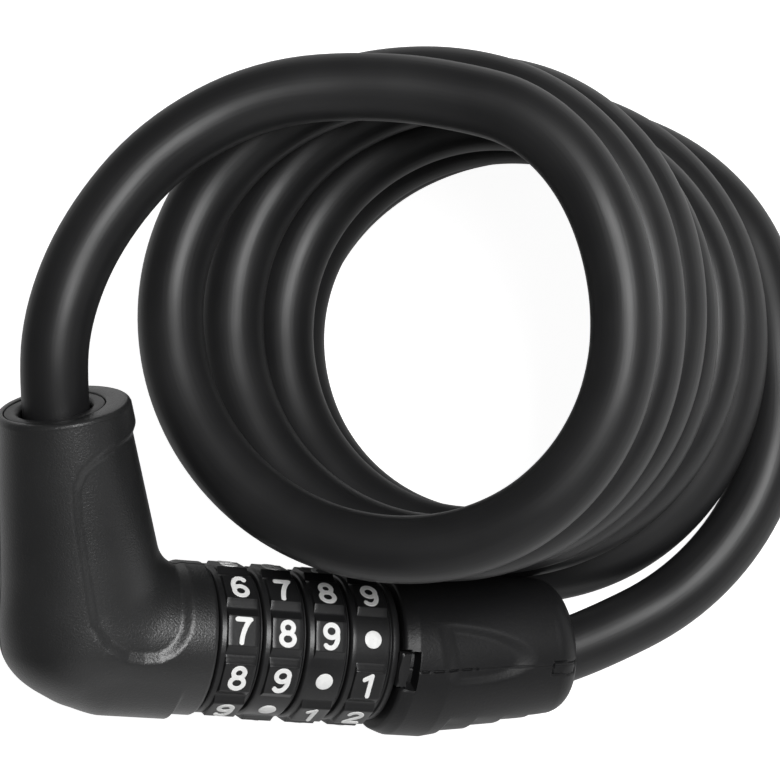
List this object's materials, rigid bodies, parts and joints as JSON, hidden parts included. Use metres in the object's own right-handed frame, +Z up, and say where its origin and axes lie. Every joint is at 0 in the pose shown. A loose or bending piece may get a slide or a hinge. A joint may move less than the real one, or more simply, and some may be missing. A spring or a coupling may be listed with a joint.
{
  "type": "cable lock",
  "caption": "Combination cable lock: a hand-wound coil of jacketed steel cable joins an elbow head to a plug, which locks in a barrel with numbered dials.",
  "frame": {"origin": "middle of the cable's last turn, on the surface that the coil rests on", "axes": "+Z up, along the coil; the barrel runs from the elbow at -X, -Y down to the plug, 1 degree from +X seen from above; the arm points to +Y and up"},
  "size_m": [0.1391, 0.1304, 0.103],
  "materials": {
    "cable_jacket": "satin black jacket",
    "housing": "fine sand-blast grain",
    "plug_housing": "satin",
    "dial": "satin",
    "steel": "turned",
    "cast_zinc": "die cast",
    "brass": "turned",
    "seal": "matt"
  },
  "bodies": {
    "plug_and_cable": {"cable_coil": "cable_jacket", "plug_shell_upper": "plug_housing", "plug_shell_lower": "plug_housing", "plug_pin": "steel", "plug_cross_pin": "steel", "plug_ferrule": "steel", "plug_rope_end": "steel", "dust_seal": "seal"},
    "lock_head": {"elbow_shell_front": "housing", "elbow_shell_back": "housing", "head_insert_ring": "housing", "head_ferrule": "steel", "head_rope_end": "steel", "head_anchor_pin": "steel", "lock_core": "cast_zinc", "detent_leaf": "steel", "dial_washers": "plug_housing", "end_collar": "plug_housing", "index_key": "plug_housing"},
    "dial_1": {"dial_1": "dial", "code_ring_1": "brass"},
    "dial_2": {"dial_2": "dial", "code_ring_2": "brass"},
    "dial_3": {"dial_3": "dial", "code_ring_3": "brass"},
    "dial_4": {"dial_4": "dial", "code_ring_4": "brass"}
  },
  "joints": [
    {"name": "head_slide", "type": "slide", "parent": "plug_and_cable", "child": "lock_head", "axis": [-0.823, -0.0144, 0.5678], "range_m": [0, 0.046], "deforming": ["cable_coil"]},
    {"name": "dial_1_turn", "type": "hinge", "parent": "lock_head", "child": "dial_1", "pos_m": [-0.04774, -0.06202, 0.05512], "axis": [0.823, 0.0144, -0.5678], "continuous": true},
    {"name": "dial_2_turn", "type": "hinge", "parent": "lock_head", "child": "dial_2", "pos_m": [-0.04074, -0.0619, 0.0503], "axis": [0.823, 0.0144, -0.5678], "continuous": true},
    {"name": "dial_3_turn", "type": "hinge", "parent": "lock_head", "child": "dial_3", "pos_m": [-0.03375, -0.06178, 0.04547], "axis": [0.823, 0.0144, -0.5678], "continuous": true},
    {"name": "dial_4_turn", "type": "hinge", "parent": "lock_head", "child": "dial_4", "pos_m": [-0.02675, -0.06166, 0.04064], "axis": [0.823, 0.0144, -0.5678], "continuous": true}
  ]
}
